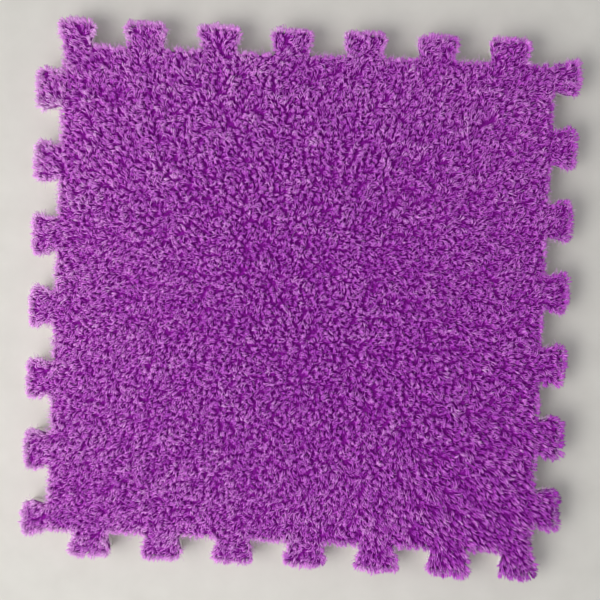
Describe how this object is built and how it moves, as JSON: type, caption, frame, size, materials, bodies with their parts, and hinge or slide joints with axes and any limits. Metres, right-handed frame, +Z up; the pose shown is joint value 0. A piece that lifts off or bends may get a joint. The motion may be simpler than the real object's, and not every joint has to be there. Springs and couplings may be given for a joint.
{
  "type": "interlocking plush floor tile",
  "caption": "Square foam floor tile with a long purple cut-pile face and dovetail tabs on every edge that push into the sockets of like tiles.",
  "frame": {"origin": "on the floor under the centre of the tile", "axes": "+Z up out of the pile; +X and +Y along two edges of the square, so that +Y points to the picture's upper edge"},
  "size_m": [0.3168, 0.3168, 0.0146],
  "materials": {
    "eva_foam": "pale closed-cell foam, matte, with a fine pressed skin underneath",
    "hot_melt_adhesive": "milky hot-melt web, hidden",
    "ground_cloth": "warp-knit backing, dyed purple, hidden under the pile",
    "plush_pile": "long curly cut pile, purple, soft sheen on the tips"
  },
  "bodies": {
    "root": {"eva_foam_base": "eva_foam", "hot_melt_film": "hot_melt_adhesive", "knit_ground_cloth": "ground_cloth", "plush_pile": "plush_pile"}
  },
  "joints": []
}
